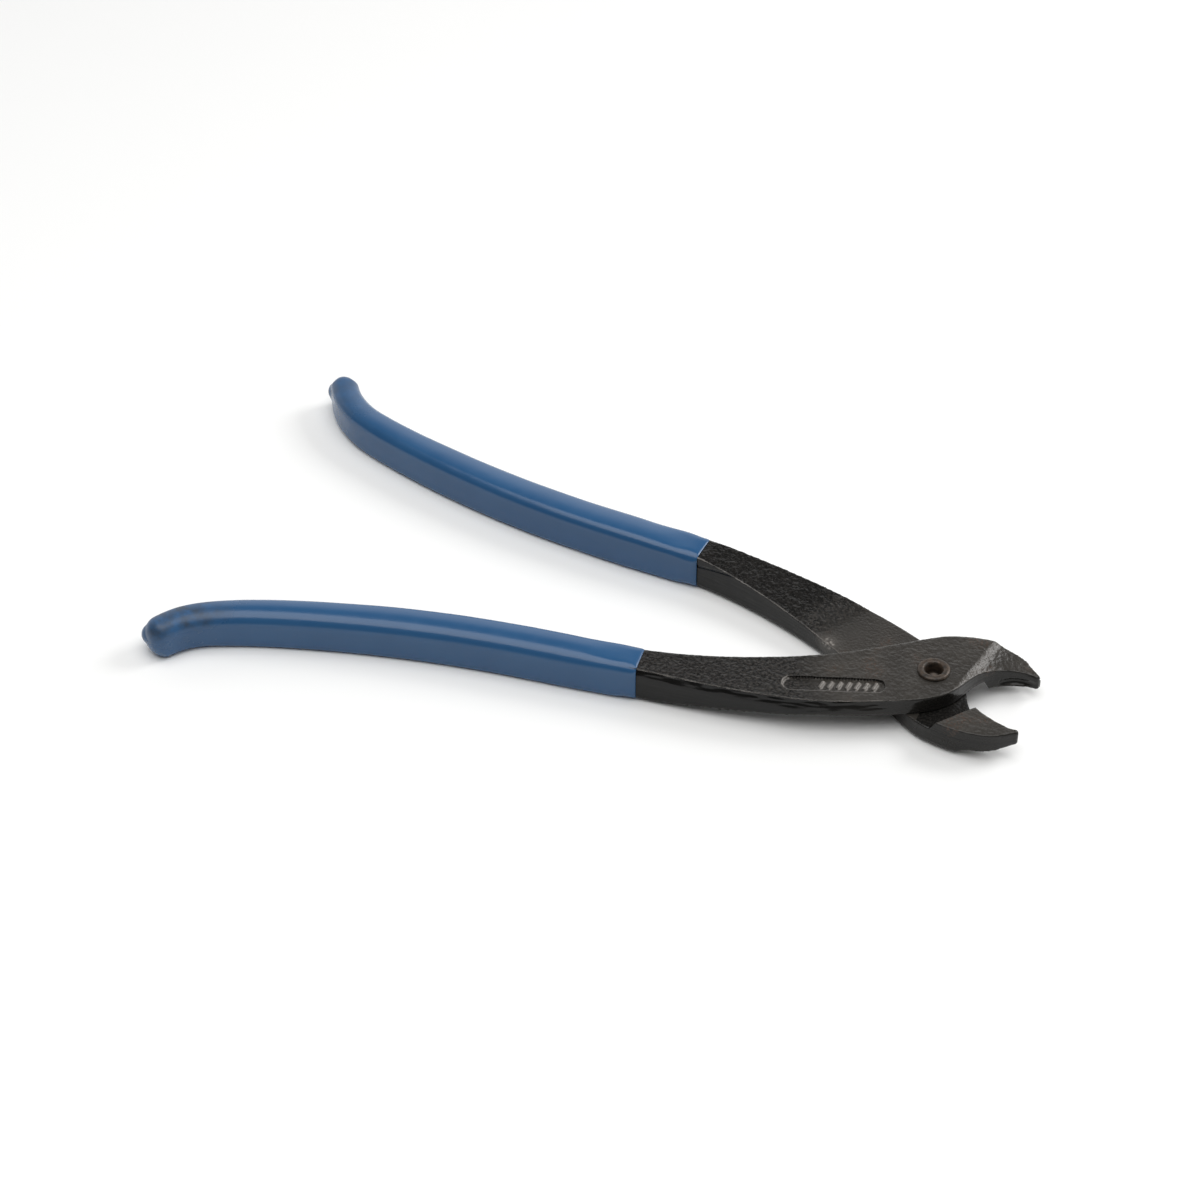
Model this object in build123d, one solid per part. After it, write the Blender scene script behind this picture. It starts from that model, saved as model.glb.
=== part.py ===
from build123d import *
import math
import os

# Ring-closing pliers with curved beak jaws, lying flat and partly open.
# Two identical forgings are lapped at a rivet; one of them is turned over.
# Frame: origin on the rivet's axis at the resting plane, +X towards the jaws,
# +Z up. The upper lever has its handle at -Y and its jaw at +Y.
# All lengths are millimetres.

MID_Z = 6.5  # plane where the two halves lie on each other
STACK = 11.0  # both halves together at the rivet, and the full handle bar
BOTTOM_Z = MID_Z - STACK / 2
TOP_Z = MID_Z + STACK / 2
LAP_PLAY = 0.05  # each lap face stands off the middle plane by this much
EDGE_RADIUS = 0.6  # rounding along the forging's long edges

BAR_WIDTH = 9.2  # steel handle bar at the coating's edge
GRIP_WIDTH = 11.5  # coated handle at the coating's edge
END_NARROWING = 2.8  # both are this much narrower at the hooked end
END_LOWERING = 1.4  # and their upper side comes down by this much
COATING_UNDER = 1.0  # coating below the bar, which the handle rests on
COATING_OVER = 0.8
GRIP_ROUND = 3.0  # rounding along the coated handle's edges
DRIP_RADIUS = 2.4  # set drip at the end of each dipped handle

SHOULDER_DISTANCE = 16.2  # rivet axis to the foot of the straight lap shoulder
SHOULDER_SLOPE = 1.7  # the shoulder leans in by this much at the lap face
SHOULDER_ANGLE = 39.3  # direction of the shoulder's normal from +X
JAW_UNDERSIDE = 3.2  # jaw's lap side, measured from the middle plane
LAP_RADIUS = 35.5  # lap face runs this far along the handle
BAR_FULL_RADIUS = 81.0  # where the handle has reached its full thickness
RAMP_TURN = -10.8  # direction across the ramp from head to jaw
TIP_DROP_Z = 8.05  # jaw's top face at its tip

SHANK_RADIUS = 3.5  # rivet
RUNNING_CLEARANCE = 0.05  # radial, in the lower lever only
RING_RADIUS = 4.7  # rolled end of the tubular rivet
RING_HEIGHT = 1.0
RIVET_HOLE_RADIUS = 2.3
RIVET_HOLE_DEPTH = 4.0
HEAD_RADIUS = 5.8  # low factory head, which the tool rests on

GROOVE_RADIUS = 1.35  # groove along the inside of each beak
PANEL_LENGTH = 29.0  # sunk panel on the flat of each lever
PANEL_WIDTH = 5.4
PANEL_DEPTH = 0.6
PANEL_CENTRE = (-24.5, -15.6)
PANEL_TURN = 18.0
RIB_COUNT = 7  # plain slanted ribs standing in the panel
RIB_PITCH = 2.5
RIB_START = -3.5  # first rib, measured from the panel's centre
RIB_LENGTH = 3.2
RIB_WIDTH = 0.9
RIB_HEIGHT = 0.45
RIB_SLANT = -25.0

# Middle line of the upper handle, from the coating's edge to the hooked end.
HANDLE_LINE = [
    (-78.6, -25.9),
    (-93.0, -27.1),
    (-108.5, -28.3),
    (-126.4, -30.2),
    (-144.0, -33.0),
    (-161.3, -36.8),
    (-178.2, -41.4),
    (-190.5, -45.4),
    (-199.5, -49.1),
    (-205.9, -53.3),
    (-209.8, -57.4),
    (-212.1, -61.4),
]
# Bare steel of the upper lever: edge on the far side of the handle, going
# round the head's crown to the beak's tip.
BACK_EDGE = [
    (-67.6, -18.9),
    (-56.7, -15.6),
    (-46.2, -11.6),
    (-35.8, -6.9),
    (-25.4, -1.1),
    (-15.4, 5.6),
    (-8.3, 10.8),
    (-2.4, 14.8),
    (3.2, 17.2),
    (8.8, 18.4),
    (14.5, 18.7),
    (19.5, 18.1),
    (23.5, 16.6),
    (26.2, 14.7),
]
# Edge on the near side of the handle, past the throat and inside the beak.
FRONT_EDGE = [
    (-66.5, -29.7),
    (-55.1, -28.8),
    (-44.1, -27.5),
    (-33.3, -25.7),
    (-25.6, -23.7),
    (-18.0, -21.0),
    (-8.2, -16.8),
    (-0.3, -12.9),
    (4.6, -9.4),
    (7.7, -5.5),
    (9.6, -1.2),
    (11.2, 2.8),
    (13.1, 6.0),
    (15.8, 8.4),
    (20.0, 10.6),
    (24.0, 11.8),
    (27.1, 11.9),
]
BEAK_NOSE = (28.35, 12.65)


def beside(line, first, last):
    """Points to the left of a line of points, each square to the line there.

    Their distance goes from first to last, and mostly near the end.
    """
    found = []
    for i, here in enumerate(line):
        offset = first + (last - first) * (i / (len(line) - 1)) ** 3
        before = line[max(i - 1, 0)]
        after = line[min(i + 1, len(line) - 1)]
        along = (after[0] - before[0], after[1] - before[1])
        size = math.hypot(along[0], along[1])
        x = here[0] - offset * along[1] / size
        y = here[1] + offset * along[0] / size
        found.append((x, y))
    return found


def past_end(line, distance):
    """The point this far beyond the end of a line of points."""
    last, before = line[-1], line[-2]
    along = (last[0] - before[0], last[1] - before[1])
    size = math.hypot(along[0], along[1])
    return (last[0] + distance * along[0] / size, last[1] + distance * along[1] / size)


def lever_outline():
    half = BAR_WIDTH / 2
    end = half - END_NARROWING / 2
    near = beside(HANDLE_LINE, half, end)
    far = beside(HANDLE_LINE, -half, -end)
    back = Spline(*(list(reversed(far)) + BACK_EDGE + [(27.5, 13.7)]))
    front = Spline(*(list(reversed(near)) + FRONT_EDGE))
    nose = ThreePointArc(back @ 1, BEAK_NOSE, front @ 1)
    heel = ThreePointArc(back @ 0, past_end(HANDLE_LINE, end * 0.8), front @ 0)
    return make_face([back, nose, front, heel])


def flat_edges(solid):
    """Every edge that lies in the solid's lowest or highest level."""
    levels = solid.edges().group_by(Axis.Z)
    return levels[0] + levels[-1]


def over_handle(level):
    """Everything over a plane that starts at a level and falls to the end."""
    start, end = HANDLE_LINE[0][0] + 0.5, -220
    fallen = level - END_LOWERING
    wedge = Polyline((start, level), (end, fallen), (end, 20), (start, 20), (start, level))
    return extrude(Plane.XZ * make_face(wedge), 100, both=True)


def blank(coated_side_up=True):
    """The lever as if it were one bar of full thickness."""
    bar = Pos(0, 0, BOTTOM_Z) * extrude(lever_outline(), STACK)
    bar = fillet(flat_edges(bar), EDGE_RADIUS)
    if coated_side_up:
        return bar - over_handle(TOP_Z)
    return bar - turned_over(over_handle(TOP_Z))


def under_lap():
    """Everything under the lap face, the handle's underside slope and the jaw."""
    lap_z = MID_Z + LAP_PLAY
    slope = Polyline(
        (0, -1),
        (0, lap_z),
        (LAP_RADIUS, lap_z),
        (BAR_FULL_RADIUS, BOTTOM_Z),
        (BAR_FULL_RADIUS, -1),
        (0, -1),
    )
    jaw_z = MID_Z - JAW_UNDERSIDE
    jaw = Polyline(
        (SHOULDER_DISTANCE, jaw_z),
        (90, jaw_z),
        (90, 20),
        (SHOULDER_DISTANCE - SHOULDER_SLOPE * 3, jaw_z + JAW_UNDERSIDE * 3),
        (SHOULDER_DISTANCE, jaw_z),
    )
    side = upright_plane(SHOULDER_ANGLE)
    return revolve(Plane.XZ * make_face(slope), Axis.Z) - extrude(
        side * make_face(jaw), 90, both=True
    )


def upright_plane(turn):
    """Plane through the rivet's axis: its x is turned from +X, its y is up."""
    angle = math.radians(turn)
    return Plane(
        origin=(0, 0, 0),
        x_dir=(math.cos(angle), math.sin(angle), 0),
        z_dir=(math.sin(angle), -math.cos(angle), 0),
    )


def over_jaw():
    """Everything above the ramp from the head down to the beak."""
    corner = (8.9, 11.8)
    foot = (11.3, 10.3)
    tip = (26.0, TIP_DROP_Z)
    fall = (tip[1] - foot[1]) / (tip[0] - foot[0])
    heel_end = (foot[0] + 5.2, foot[1] + 5.2 * fall)
    edge = [
        Line((4.1, 12.9), (7.6, 12.1)),
        Bezier((7.6, 12.1), corner, (9.9, 11.18)),
        Bezier((9.9, 11.18), foot, heel_end),
        Line(heel_end, (50.0, tip[1] + 24 * fall)),
        Polyline((50.0, tip[1] + 24 * fall), (50.0, 20), (4.1, 20), (4.1, 12.9)),
    ]
    side = upright_plane(RAMP_TURN)
    return extrude(side * make_face(edge), 60, both=True)


def beak_groove():
    """Round groove in the inner face that runs out towards throat and tip."""
    path = ThreePointArc((17.0, 7.0, 5.1), (22.3, 11.05, 5.1), (29.4, 9.6, 5.1))
    return sweep(Plane(origin=path @ 0, z_dir=path % 0) * Circle(GROOVE_RADIUS), path)


def panel():
    """Shallow sunk panel with plain ribs left standing in its right part."""
    place = Pos(*PANEL_CENTRE, TOP_Z - PANEL_DEPTH) * Rot(Z=PANEL_TURN)
    sunk = extrude(SlotOverall(PANEL_LENGTH, PANEL_WIDTH), PANEL_DEPTH + 1)
    for i in range(RIB_COUNT):
        x = RIB_START + i * RIB_PITCH
        rib = Pos(x, 0, RIB_HEIGHT / 2) * Rot(Z=RIB_SLANT) * Box(RIB_WIDTH, RIB_LENGTH, RIB_HEIGHT)
        sunk -= rib
    return place * sunk


def lever(bore_radius, coated_side_up):
    body = blank(coated_side_up) - under_lap() - over_jaw() - beak_groove() - panel()
    return body - Cylinder(bore_radius, 60)


def grip():
    """Dipped coating: a closed sleeve round the bar with a set drip."""
    half = GRIP_WIDTH / 2
    end = half - END_NARROWING / 2
    near = beside(HANDLE_LINE, half, end)
    far = beside(HANDLE_LINE, -half, -end)
    back = Spline(*far)
    front = Spline(*near)
    heel = ThreePointArc(back @ 1, past_end(HANDLE_LINE, end * 0.85), front @ 1)
    cuff = Line(back @ 0, front @ 0)
    outer = extrude(make_face([back, heel, front, cuff]), 20)
    outer = Pos(0, 0, BOTTOM_Z - COATING_UNDER) * outer
    outer -= over_handle(TOP_Z + COATING_OVER)
    top = outer.faces().sort_by(Axis.Z)[-1]
    bottom = outer.faces().sort_by(Axis.Z)[0]
    open_end = outer.faces().sort_by(Axis.X)[-1].edges()
    round_off = [e for e in top.edges() + bottom.edges() if e not in open_end]
    outer = fillet(round_off, GRIP_ROUND)
    outer += Pos(-213.9, -60.3, MID_Z - 0.6) * Sphere(DRIP_RADIUS)
    return outer - blank()


def rivet():
    """Semi-tubular rivet: low flat head below, rolled ring on top."""
    top = TOP_Z + RING_HEIGHT
    head = BOTTOM_Z - 0.05
    profile = Polyline(
        (0, 0),
        (HEAD_RADIUS - 0.6, 0),
        (HEAD_RADIUS, 0.5),
        (HEAD_RADIUS, head),
        (SHANK_RADIUS, head),
        (SHANK_RADIUS, TOP_Z),
        (RING_RADIUS, TOP_Z),
        (RING_RADIUS, top - 0.55),
        (RING_RADIUS - 0.55, top),
        (RIVET_HOLE_RADIUS + 0.5, top),
        (RIVET_HOLE_RADIUS, top - 0.8),
        (RIVET_HOLE_RADIUS, top - RIVET_HOLE_DEPTH),
        (0, top - RIVET_HOLE_DEPTH - 0.7),
        (0, 0),
    )
    return revolve(Plane.XZ * make_face(profile), Axis.Z)


def turned_over(shape):
    """The other half: turned over about the line through the middle plane."""
    return Pos(0, 0, 2 * MID_Z) * Rot(X=180) * shape


def other_side(shape):
    return mirror(shape, about=Plane.XZ)


os.makedirs("parts", exist_ok=True)
upper = lever(SHANK_RADIUS, True)
lower = turned_over(lever(SHANK_RADIUS + RUNNING_CLEARANCE, False))
coating = grip()
export_step(upper, "parts/upper_lever.step")
export_step(lower, "parts/lower_lever.step")
export_step(coating, "parts/upper_grip.step")
export_step(other_side(coating), "parts/lower_grip.step")
export_step(rivet(), "parts/pivot_rivet.step")
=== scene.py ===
import bmesh
import bpy
import math
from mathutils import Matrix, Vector, noise


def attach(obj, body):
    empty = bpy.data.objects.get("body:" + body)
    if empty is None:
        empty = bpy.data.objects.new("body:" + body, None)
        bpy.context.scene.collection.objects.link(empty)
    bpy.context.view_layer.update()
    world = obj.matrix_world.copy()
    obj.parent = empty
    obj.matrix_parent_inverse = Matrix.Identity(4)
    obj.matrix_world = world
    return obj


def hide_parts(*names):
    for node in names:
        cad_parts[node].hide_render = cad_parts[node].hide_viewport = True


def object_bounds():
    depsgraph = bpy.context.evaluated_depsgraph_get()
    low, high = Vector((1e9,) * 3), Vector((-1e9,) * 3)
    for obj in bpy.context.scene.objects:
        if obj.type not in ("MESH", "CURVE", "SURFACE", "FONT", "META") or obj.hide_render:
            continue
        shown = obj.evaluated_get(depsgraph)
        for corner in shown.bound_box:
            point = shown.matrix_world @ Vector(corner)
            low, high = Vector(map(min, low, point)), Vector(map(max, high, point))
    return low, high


# Ring-closing pliers: two black forged levers lapped on a tubular rivet,
# with blue dipped handles. Everything is in metres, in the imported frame:
# origin on the rivet's axis at the floor, +X to the jaws, +Z up.

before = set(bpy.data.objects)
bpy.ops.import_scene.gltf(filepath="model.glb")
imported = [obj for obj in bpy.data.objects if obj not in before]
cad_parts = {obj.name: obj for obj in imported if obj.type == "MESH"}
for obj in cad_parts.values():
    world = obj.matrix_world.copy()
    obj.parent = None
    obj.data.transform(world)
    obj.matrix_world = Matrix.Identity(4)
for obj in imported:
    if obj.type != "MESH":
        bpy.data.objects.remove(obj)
cad_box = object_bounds()

MM = 0.001
FLOOR_Z = cad_box[0][2]
MID = 6.5  # plane where the two halves lie on each other, in millimetres
MID_Z = MID * MM
BAR_CUT_X = -84.5 * MM  # the bare bar runs this far into the coating
STEEL_GRAIN = 0.27 * MM  # mesh size that carries the forged skin


# ---------------------------------------------------------------- helpers


def linear(code, alpha=1.0):
    """An sRGB hex colour as linear values."""
    parts = [int(code[i : i + 2], 16) / 255 for i in (1, 3, 5)]
    bent = [c / 12.92 if c <= 0.04045 else ((c + 0.055) / 1.055) ** 2.4 for c in parts]
    return (*bent, alpha)


def add(tree, kind, inputs=None, **settings):
    """Adds a node with its settings, and its inputs as values or links."""
    node = tree.nodes.new(kind)
    for key, value in settings.items():
        setattr(node, key, value)
    for key, value in (inputs or {}).items():
        if isinstance(value, bpy.types.NodeSocket):
            tree.links.new(value, node.inputs[key])
        else:
            node.inputs[key].default_value = value
    return node


def new_material(name):
    material = bpy.data.materials.new(name)
    material.use_nodes = True
    material.node_tree.nodes.clear()
    return material, material.node_tree


def ease(low, high, value):
    """0 below low, 1 above high, smooth between them."""
    t = min(max((value - low) / (high - low), 0.0), 1.0)
    return t * t * (3 - 2 * t)


def linked(name, data):
    """A new object with this data, in the scene."""
    thing = bpy.data.objects.new(name, data)
    bpy.context.scene.collection.objects.link(thing)
    return thing


def mesh_of(name, bm):
    """The working mesh as a finished one; the working mesh is freed."""
    mesh = bpy.data.meshes.new(name)
    bm.to_mesh(mesh)
    bm.free()
    return mesh


def place(name, bm, material, body, slot, *nodes):
    """Makes the finished piece, smooth shaded, and seats it in the frame."""
    mesh = mesh_of(name, bm)
    for face in mesh.polygons:
        face.use_smooth = True
    mesh.materials.append(material)
    piece = linked(name, mesh)
    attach(piece, body)
    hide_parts(*nodes)
    return piece


# -------------------------------------------------------------- materials


def attribute(tree, name):
    """A value painted on the mesh."""
    return add(tree, "ShaderNodeAttribute", attribute_name=name).outputs["Fac"]


def cells(tree, where, size, detail, roughness):
    """Noise with cells of this size, in millimetres."""
    inputs = {"Vector": where, "Scale": 1 / (size * MM), "Detail": detail, "Roughness": roughness}
    return add(tree, "ShaderNodeTexNoise", inputs).outputs["Fac"]


def remap(tree, value, low, high, first=0.0, last=1.0, **settings):
    """A value between low and high as one between first and last."""
    inputs = {"Value": value, "From Min": low, "From Max": high, "To Min": first, "To Max": last}
    return add(tree, "ShaderNodeMapRange", inputs, **settings).outputs["Result"]


def mixed(tree, factor, a, b, kind="RGBA"):
    """Between a and b by the factor, as colours or as plain values."""
    inputs = {"Factor": factor, "A": a, "B": b}
    return add(tree, "ShaderNodeMix", inputs, data_type=kind).outputs["Result"]


def times(tree, a, b):
    return add(tree, "ShaderNodeMath", {0: a, 1: b}, operation="MULTIPLY").outputs["Value"]


def bumped(tree, height, distance, strength):
    """Normals bent by a height; the distance is in millimetres."""
    inputs = {"Strength": strength, "Distance": distance * MM, "Height": height}
    return add(tree, "ShaderNodeBump", inputs).outputs["Normal"]


def surface(tree, inputs):
    """The material's one shader, with these inputs."""
    shader = add(tree, "ShaderNodeBsdfPrincipled", inputs).outputs["BSDF"]
    add(tree, "ShaderNodeOutputMaterial", {"Surface": shader})


def black_oxide_forged_steel():
    """Drop-forged carbon steel, scaled, tumbled and black oxided.

    The skin is a fine crinkle that breaks the light into specks; trimmed
    sides are smoother, with faint draw lines; corners wear through to grey.
    Edges, the bend to the beak and the panel's rim also carry painted
    highlights, and painted shade darkens the crests in the lap, on the jaws'
    inner faces and on the outer side above the trimming line.
    """
    material, tree = new_material("black_oxide_forged_steel")
    where = add(tree, "ShaderNodeTexCoord").outputs["Object"]
    skin = attribute(tree, "forged_skin")
    rub_and_highlight = attribute(tree, "rubbed_and_highlit")
    rust = attribute(tree, "browned")
    dull = attribute(tree, "dulled")
    painted_shade = attribute(tree, "painted_shade")
    crinkle = cells(tree, where, 0.8, 2.0, 0.5)
    grit = cells(tree, where, 0.5, 1.0, 0.5)
    patch = cells(tree, where, 9, 3.0, 0.55)
    black = mixed(tree, patch, linear("#0d0d0c"), linear("#171615"))
    handled = mixed(tree, dull, black, linear("#3a3733"))
    # Crests of the crinkle are greyer than its hollows, much less so under the painted shade.
    crest = remap(tree, crinkle, 0.42, 0.66)
    share_out_of_shade = remap(tree, painted_shade, 0.0, 1.0, 1.0, 0.3)
    showing = times(tree, share_out_of_shade, skin)
    crested = times(tree, crest, showing)
    dark = mixed(tree, crested, handled, linear("#33302d"))
    # Wear and painted highlights lighten the steel to grey.
    worn_and_highlit = mixed(tree, rub_and_highlight, dark, linear("#8a8580"))
    fleck = remap(tree, crinkle, 0.5, 0.62)
    rusted = times(tree, fleck, rust)
    colour = mixed(tree, rusted, worn_and_highlit, linear("#4a3a30"))
    even = remap(tree, patch, 0.3, 0.7, 0.2, 0.32)
    rough = mixed(tree, painted_shade, even, 0.16, "FLOAT")
    height = mixed(tree, 0.2, crinkle, grit, "FLOAT")
    relief = remap(tree, skin, 0.0, 1.0, 0.15, 1.0)
    bump = bumped(tree, height, 0.2, relief)
    surface(tree, {"Base Color": colour, "Roughness": rough, "IOR": 1.36, "Normal": bump})
    return material


def browned_rivet_steel():
    """Mild steel rivet, cold headed and rolled over, gone slightly brown."""
    material, tree = new_material("browned_rivet_steel")
    where = add(tree, "ShaderNodeTexCoord").outputs["Object"]
    patch = cells(tree, where, 1.6, 4.0, 0.6)
    tone = remap(tree, patch, 0.35, 0.65)
    colour = mixed(tree, tone, linear("#24201c"), linear("#4a3d32"))
    bump = bumped(tree, patch, 0.05, 0.6)
    surface(tree, {"Base Color": colour, "Metallic": 0.35, "Roughness": 0.42, "Normal": bump})
    return material


def dipped_blue_vinyl():
    """Soft PVC plastisol, hot dipped and cured: satin gloss, slightly wavy."""
    material, tree = new_material("dipped_blue_vinyl")
    where = add(tree, "ShaderNodeTexCoord").outputs["Object"]
    grime = attribute(tree, "grimy")
    cloud = cells(tree, where, 14, 2.0, 0.5)
    blue = mixed(tree, cloud, linear("#244d75"), linear("#29557e"))
    smear = cells(tree, where, 3.5, 3.0, 0.6)
    spots = remap(tree, smear, 0.3, 0.75)
    dirt = times(tree, spots, grime)
    colour = mixed(tree, dirt, blue, linear("#2b3036"))
    satin = remap(tree, smear, 0.3, 0.7, 0.2, 0.27)
    rough = mixed(tree, grime, satin, 0.42, "FLOAT")
    ripple = cells(tree, where, 4.5, 2.0, 0.4)
    bump = bumped(tree, ripple, 0.12, 0.35)
    surface(tree, {"Base Color": colour, "Roughness": rough, "IOR": 1.5, "Normal": bump})
    return material


# ----------------------------------------------------------- forged levers


# Places and sizes on a lever, in millimetres.
BEND_X = (3, 18)  # where the head bends down to the beak
BEND_RISE = 1.5  # above the middle plane by more than this
BEND_PASSES = 14
NOSE_X = 24
NOSE_PASSES = 16
SKIN_PASSES = 2
LAP_RADIUS = 37
LAP_PLAY = 0.3
PANEL_TURN = 18  # degrees
PANEL_CENTRE = (-24.5, -15.6)
PANEL_REACH = (15.5, 3.6)  # half its length and width, with its rim
PANEL_LEVEL = 4.6  # all of it lies over this level
PANEL_FLOOR = 5.15
PANEL_SINK = 0.3
FLASH = 0.5
INNER_GRIND = 0.35  # off the upper beak's inner face
BEAK_LEAN = 0.65
TIP_DIFFERENCE = 0.5  # each beak's tip moves by this much along X
KNOCK = (-33.4, 6.0, 6.4)


def smooth(bm, verts, passes):
    for _ in range(passes):
        bmesh.ops.smooth_vert(
            bm, verts=verts, factor=0.5, use_axis_x=True, use_axis_y=True, use_axis_z=True
        )


def lever_skin(node, name):
    """A fine even mesh of one lever, cut off just inside its coating."""
    bm = bmesh.new()
    bm.from_mesh(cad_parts[node].data)
    bmesh.ops.remove_doubles(bm, verts=bm.verts, dist=0.002 * MM)
    cut = bmesh.ops.bisect_plane(
        bm,
        geom=bm.verts[:] + bm.edges[:] + bm.faces[:],
        plane_co=(BAR_CUT_X, 0, 0),
        plane_no=(1, 0, 0),
        clear_inner=True,
    )
    rim = [e for e in cut["geom_cut"] if isinstance(e, bmesh.types.BMEdge)]
    bmesh.ops.holes_fill(bm, edges=rim, sides=0)
    blank = linked(name + "_blank", mesh_of(name + "_blank", bm))
    even = blank.modifiers.new("even", "REMESH")
    even.mode = "VOXEL"
    even.voxel_size = STEEL_GRAIN
    graph = bpy.context.evaluated_depsgraph_get()
    fine = bpy.data.meshes.new_from_object(blank.evaluated_get(graph))
    bpy.data.objects.remove(blank)
    bm = bmesh.new()
    bm.from_mesh(fine)
    bpy.data.meshes.remove(fine)
    return bm


def panel_place(x, y):
    """A point of the upper lever, in millimetres, along and across its panel."""
    turn = math.radians(PANEL_TURN)
    x, y = x - PANEL_CENTRE[0], y - PANEL_CENTRE[1]
    along = x * math.cos(turn) + y * math.sin(turn)
    across = y * math.cos(turn) - x * math.sin(turn)
    return along, across


def forged_lever(node, name, body, side, material):
    """One forging. side is 1 for the upper lever and -1 for the turned one.

    Both are the same forging, so its marks are laid out in the upper lever's
    own terms: outer is the hand's side, over is the side with the panel.
    """
    bm = lever_skin(node, name)
    smooth(bm, bm.verts, SKIN_PASSES)
    bm.normal_update()
    # The bend from head to beak is soft; on the lower lever its edges are too.
    bend = [
        v
        for v in bm.verts
        if BEND_X[0] * MM < v.co.x < BEND_X[1] * MM
        and (v.co.z - MID_Z) * side > BEND_RISE * MM
        and (side < 0 or v.normal.z > 0.8)
    ]
    smooth(bm, bend, BEND_PASSES)
    smooth(bm, [v for v in bm.verts if v.co.x > NOSE_X * MM], NOSE_PASSES)
    bm.normal_update()
    skin = bm.verts.layers.float.new("forged_skin")
    rub_and_highlight = bm.verts.layers.float.new("rubbed_and_highlit")
    brown = bm.verts.layers.float.new("browned")
    dull = bm.verts.layers.float.new("dulled")
    painted_shade = bm.verts.layers.float.new("painted_shade")
    moves = []
    for vert in bm.verts:
        here, out = vert.co, vert.normal
        deep = here / MM
        over = (deep.z - MID) * side
        outer = -out.y * side
        radius = math.hypot(deep.x, deep.y)
        facing = ease(0.55, 0.9, abs(out.z))
        bar = ease(-2.0, -12.0, deep.x)
        lap = abs(over) < LAP_PLAY and radius < LAP_RADIUS
        swell = noise.noise(deep / 5.0) * 0.06
        cell = noise.noise(deep / 1.3 + Vector((7, 3, 1))) * 0.1
        cell += noise.noise(deep / 0.8 + Vector((1, 9, 4))) * 0.06
        sheared = noise.noise(Vector((deep.x / 7, deep.y / 7, deep.z / 0.5))) * 0.03
        lift = swell + cell * facing + sheared * (1 - facing)
        # Flash pinched up along the outer edge, above the trimming line.
        edge = ease(0.2, 0.5, outer) * ease(0.2, 0.5, out.z * side) * bar
        along, across = panel_place(deep.x, deep.y * side)
        in_panel = (
            abs(along) < PANEL_REACH[0] and abs(across) < PANEL_REACH[1] and over > PANEL_LEVEL
        )
        if in_panel:
            edge = 0.0
        ragged = 0.6 + 0.9 * noise.noise(Vector((deep.x / 2.2, side * 5, 0)))
        lift += FLASH * edge * max(ragged, 0.0)
        # Above the trimming line the outer side leans back, with draw marks.
        if outer > 0.6:
            drift = 0.5 * noise.noise(Vector((deep.x / 9, side, 2)))
            low = 1.9 - 1.6 * ease(-55, -30, deep.x)
            lean = ease(low + drift, 5.0, over) * bar
            lift -= (0.95 + 0.35 * ease(-55, -30, deep.x)) * lean
            lift += 0.25 * lean * noise.noise(Vector((deep.x / 5, side, over / 0.7)))
        # Parting line on the inner side, running out towards the lap.
        if outer < -0.8 and deep.x < -62:
            drift = -2.3 - (deep.x + 78) * 0.17
            lift -= 0.28 * math.exp(-(((over - drift) / 0.35) ** 2))
        # The upper beak was ground back further, and its inner face leans back.
        beak = ease(12, 20, deep.x)
        if side > 0:
            lift -= INNER_GRIND * beak * ease(0.2, 0.7, -outer)
        if side > 0 and outer < -0.5:
            top = 5.5 - 3.95 * ease(8, 26, deep.x)
            lift += BEAK_LEAN * ease(top, top - 1.7, over) * beak
        if lap:
            lift = min(lift, 0.0) * 0.5
        # The crisp lower inner edge and the flash are lit up: a painted highlight of the lamps
        # along them, with some wear.
        crisp = ease(0.35, 0.62, -outer) * ease(0.35, 0.62, -out.z * side)
        touch = 0.5 + 0.8 * noise.noise(Vector((deep.x / 4, deep.y / 4, side * 7)))
        bright = (0.25 + 0.6 * max(touch, 0.0)) * crisp * bar + 0.8 * edge * touch
        # Where the head bends down to the beak it is lighter grey: a painted highlight of the
        # lamps on the slope, with some wear.
        tilt = ease(0.985, 0.9, abs(out.z)) * facing * ease(4, 7, deep.x) * ease(19, 13, deep.x)
        bright += 0.3 * tilt * (0.8 + 0.9 * noise.noise(deep / 0.45)) * ease(1.0, 2.0, over)
        # A knock at the edge of the lower lever's lap.
        knock = (deep - Vector(KNOCK)).length
        chipped = 2.4 * noise.noise(deep / 0.8 + Vector((0, 4, 0))) + 0.1
        if side < 0:
            bright += ease(2.8, 0.4, knock) * max(chipped, 0.0) + 0.1 * ease(7, 1, knock)
        # The panel's ribs are scuffed grey, its rim walls facing +X and the back carry a painted
        # highlight, and its floor lies deeper.
        if in_panel:
            rib = ease(5.1, 5.3, over) * ease(2.2, 1.8, abs(across)) * ease(-5, -4.4, along)
            rib *= ease(13.2, 12.6, along)
            bright += 0.35 * rib + 0.7 * ease(0.1, 0.4, out.x) + 0.4 * ease(0.1, 0.4, -outer)
            if over < PANEL_FLOOR and facing > 0.5:
                lift -= PANEL_SINK
        vert[skin] = facing
        # Painted shade: the crests are darkened on the lower lever's top next to the lap, a
        # little on the bar, on the outer side above the trimming line and on the jaws' inner
        # faces.
        vert[painted_shade] = max(
            ease(-0.8, -1.5, over) * ease(36, 44, radius) * ease(0, -10, deep.x),
            0.35 * ease(-40, -60, deep.x),
            (1 - facing) * ease(0, 0.5, outer) * ease(1.0, 2.5, over),
            ease(-0.5, -0.8, outer) * beak,
        )
        vert[rub_and_highlight] = min(max(bright, 0.0), 1.0)
        stain = 0.5 + 0.9 * noise.noise(deep / 7 + Vector((3, 3, 3)))
        vert[dull] = ease(42, 26, radius) * min(max(0.65 + 0.4 * stain, 0.0), 1.0)
        vert[dull] *= 0.2 + 0.8 * facing
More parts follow.
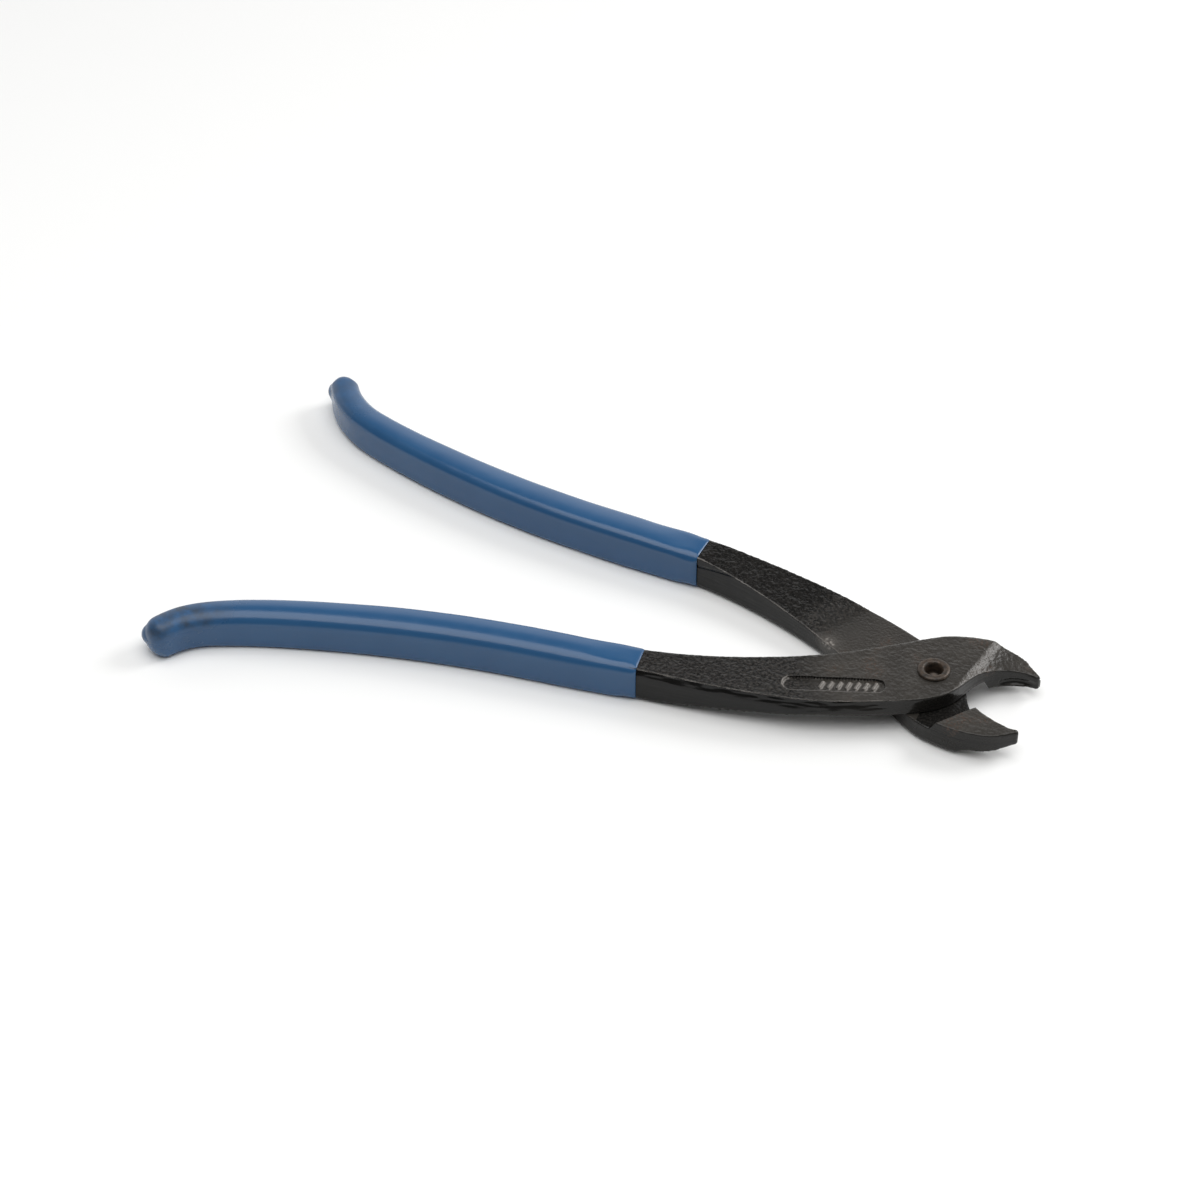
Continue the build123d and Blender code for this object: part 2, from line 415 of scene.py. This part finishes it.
        # The lap under the upper beak is painted in full shade, with no lighter head tone.
        if lap and deep.x > 0:
            vert[dull] = 0.0
            vert[painted_shade] = 1.0
        if side < 0:
            vert[dull] = max(vert[dull], ease(6.0, 1.5, knock))
        vert[brown] = 0.6 * ease(40, 26, radius) * ease(0.75, 1.0, stain)
        moves.append((out * lift - Vector((TIP_DIFFERENCE * side * beak, 0, 0))) * MM)
    for vert, move in zip(bm.verts, moves):
        vert.co += move
    return place(name, bm, material, body, "forged_steel", node)


# ------------------------------------------------------------ pivot rivet


def rolled_rivet(material):
    """Tubular rivet turned from its half section, ring rolled over on top."""
    section = [
        (0.0, 0.0),
        (5.0, 0.0),
        (5.5, 0.12),
        (5.78, 0.45),
        (5.7, 0.8),
        (5.3, 0.94),
        (3.5, 0.94),
        (3.5, 11.9),
        (4.45, 11.9),
        (4.68, 12.1),
        (4.7, 12.4),
        (4.5, 12.75),
        (4.05, 12.97),
        (3.5, 13.0),
        (3.0, 12.88),
        (2.65, 12.55),
        (2.42, 12.0),
        (2.34, 11.2),
        (2.3, 9.6),
        (2.1, 9.2),
        (0.9, 8.7),
        (0.0, 8.45),
    ]
    bm = bmesh.new()
    chain = [bm.verts.new((r * MM, 0, z * MM)) for r, z in section]
    edges = [bm.edges.new(pair) for pair in zip(chain, chain[1:])]
    bmesh.ops.spin(
        bm,
        geom=chain + edges,
        cent=(0, 0, 0),
        axis=(0, 0, 1),
        angle=2 * math.pi,
        steps=64,
        use_merge=True,
    )
    bmesh.ops.remove_doubles(bm, verts=bm.verts, dist=0.001 * MM)
    bmesh.ops.recalc_face_normals(bm, faces=bm.faces)
    bmesh.ops.subdivide_edges(bm, edges=bm.edges[:], cuts=1, use_grid_fill=True)
    bm.normal_update()
    for vert in bm.verts:
        if vert.co.z > 11.95 * MM or vert.co.z < 1.0 * MM:
            uneven = noise.noise(vert.co / (1.6 * MM)) * 0.09
            vert.co += vert.normal * (uneven + noise.noise(vert.co / (0.7 * MM)) * 0.04) * MM
    return place("pivot_rivet_rolled", bm, material, "upper_half", "rivet_steel", "pivot_rivet")


# ---------------------------------------------------------- dipped handles

# Middle line of the upper handle from the coating's edge to the hooked end,
# in millimetres: along X, across Y.
HANDLE_LINE = [
    (-78.6, -25.9),
    (-93.0, -27.1),
    (-108.5, -28.3),
    (-126.4, -30.2),
    (-144.0, -33.0),
    (-161.3, -36.8),
    (-178.2, -41.4),
    (-190.5, -45.4),
    (-199.5, -49.1),
    (-205.9, -53.3),
    (-209.8, -57.4),
    (-212.1, -61.4),
]


SIDES = 48  # points round a ring of the coating
END_RINGS = 8
END_REACH = 3.9  # of the rounded end, in millimetres
END_SIZE = (12.2, 11.9)
END_LEVEL = 5.95
END_CROWN = 1.3
LEAST = 0.02  # the last ring stays this wide
NIB_RADIUS = 2.9
NIB_PUSH = 1.1
# The two handles were dipped by hand and differ: how far the hook moves back,
# how much the end narrows, how the top falls, its crown and corner, the set
# drip's place, and the share of grime. In millimetres.
DIPS = {
    1: {
        "shift": 1.3,
        "narrowing": 2.8,
        "fall": 0.025,
        "crown": 1.3,
        "corner": 2.7,
        "nib": (-217.0, -61.5, 5.9),
        "grime": 1.0,
    },
    -1: {
        "shift": -0.9,
        "narrowing": 3.6,
        "fall": 0.1,
        "crown": 1.0,
        "corner": 2.2,
        "nib": (-214.9, 60.6, 6.5),
        "grime": 0.35,
    },
}
# The cuff, ring by ring: inward, width, height, corner, lowest level.
CUFF = [
    (0.8, 9.2, 10.95, 0.8, 1.02),
    (0.2, 9.4, 11.15, 1.0, 0.9),
    (0.0, 9.7, 11.4, 1.4, 0.72),
    (0.35, 10.35, 11.98, 1.9, 0.38),
    (0.9, 10.85, 12.35, 2.4, 0.2),
    (1.8, 11.1, 12.55, 2.8, 0.12),
    (3.6, 11.35, 12.7, 3.1, 0.04),
]


def handle_path(side):
    """Even points and directions along the handle, from a smooth curve."""
    curve = bpy.data.curves.new("handle_path", "CURVE")
    curve.dimensions = "3D"
    spline = curve.splines.new("NURBS")
    spline.points.add(len(HANDLE_LINE) - 1)
    for point, (x, y) in zip(spline.points, HANDLE_LINE):
        point.co = (x * MM, y * side * MM, 0, 1)
    spline.use_endpoint_u = True
    spline.order_u = 4
    spline.resolution_u = 10
    holder = linked("handle_path", curve)
    graph = bpy.context.evaluated_depsgraph_get()
    mesh = bpy.data.meshes.new_from_object(holder.evaluated_get(graph))
    points = [v.co.copy() for v in mesh.vertices]
    bpy.data.objects.remove(holder)
    return points


def section_point(turn, width, height, corner):
    """A point on a rounded rectangle, at this turn round it."""
    corner = min(corner, width / 2 - 0.01, height / 2 - 0.01)
    c, s = math.cos(turn), math.sin(turn)
    wide, tall = width / 2 - corner, height / 2 - corner
    reach = 1e9
    if abs(c) > 1e-6:
        reach = min(reach, (wide + corner) / abs(c))
    if abs(s) > 1e-6:
        reach = min(reach, (tall + corner) / abs(s))
    x, y = c * reach, s * reach
    if abs(x) > wide and abs(y) > tall:
        centre = Vector((math.copysign(wide, x), math.copysign(tall, y)))
        ray = Vector((c, s))
        along = ray.dot(centre)
        gap = centre.length_squared - corner * corner
        far = along + math.sqrt(max(along * along - gap, 0.0))
        return ray * far
    return Vector((x, y))


def dipped_grip(name, node, body, side, material):
    """The coating as one closed skin: socket round the bar, lip, sleeve, tip."""
    dip = DIPS[side]
    points = handle_path(side)
    for point in points:
        point.x -= dip["shift"] * MM * ease(-196 * MM, -209 * MM, point.x)
    count = len(points)
    narrowing = dip["narrowing"]
    bm = bmesh.new()
    grimy = bm.verts.layers.float.new("grimy")
    ring = bmesh.ops.create_circle(bm, segments=SIDES, radius=MM)["verts"]
    turns = [math.atan2(v.co.y, v.co.x) for v in ring]

    def seat(verts, centre, along, width, height, corner, low, crown=0.0, under=4.0):
        across = Vector((-along.y, along.x, 0)) * side
        middle = low + height / 2
        for vert, turn in zip(verts, turns):
            rounding = corner if turn > 0 else min(corner, under)
            spot = section_point(turn, width, height - crown, rounding)
            spot.y += (crown if spot.y > 0 else 0) * math.cos(math.pi * spot.x / width)
            spot.y += dip["fall"] * crown * spot.x * side if spot.y > 0 else 0.0
            spot.y -= crown / 2
            flat = centre + across * (spot.x * MM)
            vert.co = Vector((flat.x, flat.y, (middle + spot.y) * MM))

    def onward(verts):
        edges = set()
        chosen = set(verts)
        for vert in verts:
            for edge in vert.link_edges:
                if edge.other_vert(vert) in chosen:
                    edges.add(edge)
        made = bmesh.ops.extrude_edge_only(bm, edges=list(edges))["geom"]
        fresh = [g for g in made if isinstance(g, bmesh.types.BMVert)]
        pairs = {}
        for vert in fresh:
            for edge in vert.link_edges:
                other = edge.other_vert(vert)
                if other in chosen:
                    pairs[other] = vert
        return [pairs[v] for v in verts]

    start = (points[1] - points[0]).normalized()
    # Socket round the bar, then the lip.
    seat(ring, points[0] + start * 6.2 * MM, start, 9.15, 10.9, 0.8, 1.05)
    bmesh.ops.contextual_create(bm, geom=ring)
    for inward, width, height, corner, low in CUFF:
        ring = onward(ring)
        seat(ring, points[0] + start * inward * MM, start, width, height, corner, low)
    travelled = 0.0
    lengths = [0.0]
    for a, b in zip(points, points[1:]):
        travelled += (b - a).length
        lengths.append(travelled)
    first = next(i for i in range(count) if lengths[i] > 5.4 * MM)
    for i in range(first, count):
        before, after = points[max(i - 1, 0)], points[min(i + 1, count - 1)]
        along = (after - before).normalized()
        t = lengths[i] / travelled
        fuller = ease(4, 24, lengths[i] / MM)
        width = 11.4 + 0.8 * fuller - narrowing * t**3
        height = 12.72 + 0.6 * fuller - 1.4 * t
        wave = noise.noise(Vector((lengths[i] / MM / 16, side * 3.0, 0))) * 0.12
        ring = onward(ring)
        crown = dip["crown"] * ease(3, 20, lengths[i] / MM)
        under = 1.8 + 1.6 * ease(0.82, 0.98, t)
        width, height = width + wave, height + wave * 0.6
        seat(ring, points[i], along, width, height, dip["corner"], 0.0, crown, under)
    # Rounded end.
    end = points[-1]
    for k in range(1, END_RINGS):
        lean = k / END_RINGS * math.pi / 2
        shrink = math.cos(lean) ** 0.75
        width = (END_SIZE[0] - narrowing) * shrink + LEAST
        height = END_SIZE[1] * shrink + LEAST
        ring = onward(ring)
        centre = end + along * (END_REACH * MM * math.sin(lean))
        corner = 3.0 + 1.2 * k / (END_RINGS - 1)
        low = END_LEVEL - height / 2
        seat(ring, centre, along, width, height, corner, low, END_CROWN * shrink)
    bmesh.ops.contextual_create(bm, geom=ring)
    bmesh.ops.recalc_face_normals(bm, faces=bm.faces)
    bm.normal_update()
    nib = Vector(dip["nib"]) * MM
    for vert in bm.verts:
        near = max(1 - ((vert.co - nib).length / (NIB_RADIUS * MM)) ** 2, 0.0)
        vert.co += vert.normal * (NIB_PUSH * MM * near)
        soiled = ease(-190 * MM, -209 * MM, vert.co.x) * ease(-0.2, 0.6, vert.normal.z)
        vert[grimy] = soiled * dip["grime"]
    piece = place(name, bm, material, body, "grip_vinyl", node)
    even = piece.modifiers.new("even", "SUBSURF")
    even.levels = 2
    even.render_levels = 2
    return piece


# ------------------------------------------------------------------ stage


def direction(azimuth, elevation):
    """The way to a place at this azimuth and elevation, in degrees."""
    a, e = math.radians(azimuth), math.radians(elevation)
    return Vector((math.cos(a) * math.cos(e), math.sin(a) * math.cos(e), math.sin(e)))


def aim(thing, target, ray, reach):
    """Stands the thing off the target along the ray, looking back at it."""
    thing.location = target + ray * reach
    thing.rotation_euler = ray.to_track_quat("Z", "Y").to_euler()


def floor_and_lights():
    bm = bmesh.new()
    bmesh.ops.create_grid(bm, x_segments=1, y_segments=1, size=6.0)
    bmesh.ops.translate(bm, verts=bm.verts, vec=(0, 0, FLOOR_Z))
    mesh = mesh_of("floor", bm)
    paper, tree = new_material("matt_white_paper")
    surface(
        tree, {"Base Color": linear("#f4f4f3"), "Roughness": 0.9, "Specular IOR Level": 0.1}
    )
    mesh.materials.append(paper)
    floor = linked("floor", mesh)

    # A white tent: bright walls low down, a dimmer roof round the softboxes.
    world = bpy.data.worlds.new("studio")
    world.use_nodes = True
    tent = world.node_tree
    tent.nodes.clear()
    ray = add(tent, "ShaderNodeTexCoord").outputs["Generated"]
    part = add(tent, "ShaderNodeSeparateXYZ", {"Vector": ray}).outputs
    soft = {"interpolation_type": "SMOOTHSTEP"}
    wall = remap(tent, part["Y"], -0.3, 0.3, 0.12, 1.05, **soft)
    glow = remap(tent, part["Z"], 0.48, 0.76, wall, 0.1, **soft)
    sky = add(
        tent, "ShaderNodeBackground", {"Color": (1.0, 1.0, 1.0, 1.0), "Strength": glow}
    ).outputs["Background"]
    add(tent, "ShaderNodeOutputWorld", {"Surface": sky})
    bpy.context.scene.world = world

    middle = Vector((-0.09, 0.0, 0.0))
    for name, azimuth, elevation, reach, size, watts in (
        ("overhead_softbox", -90, 80, 1.2, 1.35, 14.5),
        ("rear_right_softbox", 44, 38, 1.3, 0.5, 6.0),
    ):
        lamp = bpy.data.lights.new(name, "AREA")
        lamp.shape = "SQUARE"
        lamp.size = size
        lamp.energy = watts
        aim(linked(name, lamp), middle, direction(azimuth, elevation), reach)


def camera():
    """A long lens a metre away, 41 degrees above the floor, front right."""
    lens = bpy.data.cameras.new("camera")
    lens.sensor_width = 36.0
    lens.lens = 102.6
    lens.clip_start = 0.05
    lens.clip_end = 50.0
    holder = linked("camera", lens)
    target = Vector((-0.10368, 0.00612, FLOOR_Z))
    aim(holder, target, direction(-90 + 21.54, 41.38), 1.00594)
    bpy.context.scene.camera = holder


# -------------------------------------------------------------- the build

steel = black_oxide_forged_steel()
vinyl = dipped_blue_vinyl()
forged_lever("upper_lever", "upper_lever_forged", "upper_half", 1, steel)
forged_lever("lower_lever", "lower_lever_forged", "lower_half", -1, steel)
rolled_rivet(browned_rivet_steel())
dipped_grip("upper_grip_dipped", "upper_grip", "upper_half", 1, vinyl)
dipped_grip("lower_grip_dipped", "lower_grip", "lower_half", -1, vinyl)
floor_and_lights()
camera()
bpy.context.scene.view_settings.view_transform = "Standard"
